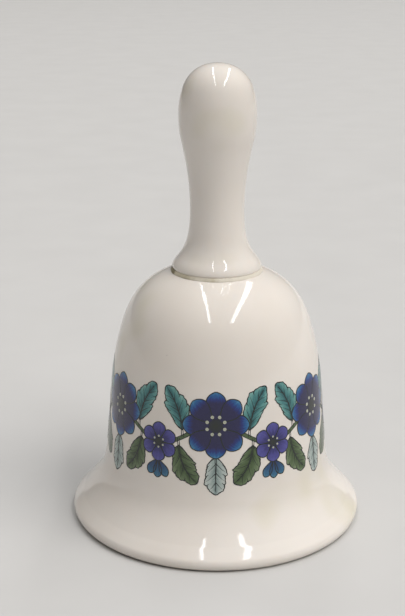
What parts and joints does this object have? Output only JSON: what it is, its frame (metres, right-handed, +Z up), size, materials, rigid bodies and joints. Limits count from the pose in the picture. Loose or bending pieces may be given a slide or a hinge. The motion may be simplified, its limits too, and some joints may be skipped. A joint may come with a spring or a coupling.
{
  "type": "porcelain hand bell",
  "caption": "Small glazed porcelain hand bell with a pestle-shaped handle, a floral band round the waist and a ball clapper on a short chain.",
  "frame": {"origin": "centre of the ring that the bell stands on, in the plane of the rim", "axes": "+Z up along the bell's axis of revolution; -Y is the front, towards the middle of the floral band's main flower; +X to the right seen from the front"},
  "size_m": [0.082, 0.082, 0.127],
  "materials": {
    "porcelain": "glossy clear glaze over warm white porcelain, with a floral transfer print round the waist",
    "slip": "dull olive-brown line of slip and settled dirt",
    "spring_wire": "drawn steel wire, slightly dulled",
    "chain_wire": "drawn steel wire, bright where the links rub",
    "ball_glaze": "glossy glazed porcelain, unglazed in the bore"
  },
  "bodies": {
    "bell": {"bell_body": "porcelain", "handle": "porcelain", "joint_slip": "slip"},
    "hanger": {"spring_hanger": "spring_wire"},
    "link_1": {"chain_link_1": "chain_wire"},
    "link_2": {"chain_link_2": "chain_wire"},
    "link_3": {"chain_link_3": "chain_wire"},
    "clapper": {"clapper_wire": "spring_wire"},
    "ball": {"clapper_ball": "ball_glaze"}
  },
  "joints": [
    {"name": "hanger_turn", "type": "hinge", "parent": "bell", "child": "hanger", "pos_m": [0, 0, 0.0715], "axis": [0, 0, 1], "continuous": true},
    {"name": "clapper_swing", "type": "hinge", "parent": "hanger", "child": "link_1", "pos_m": [0, 0, 0.0625], "axis": [1, 0, 0], "range_deg": [-26, 26]},
    {"name": "link_2_twist", "type": "hinge", "parent": "link_1", "child": "link_2", "pos_m": [0, 0, 0.0595], "axis": [0, 0, 1], "range_deg": [-30, 30]},
    {"name": "link_3_twist", "type": "hinge", "parent": "link_2", "child": "link_3", "pos_m": [0, 0, 0.0555], "axis": [0, 0, 1], "range_deg": [-30, 30]},
    {"name": "clapper_twist", "type": "hinge", "parent": "link_3", "child": "clapper", "pos_m": [0, 0, 0.0515], "axis": [0, 0, 1], "range_deg": [-30, 30]},
    {"name": "ball_spin", "type": "hinge", "parent": "clapper", "child": "ball", "pos_m": [0, 0, 0.017], "axis": [0, 0, 1], "continuous": true}
  ]
}
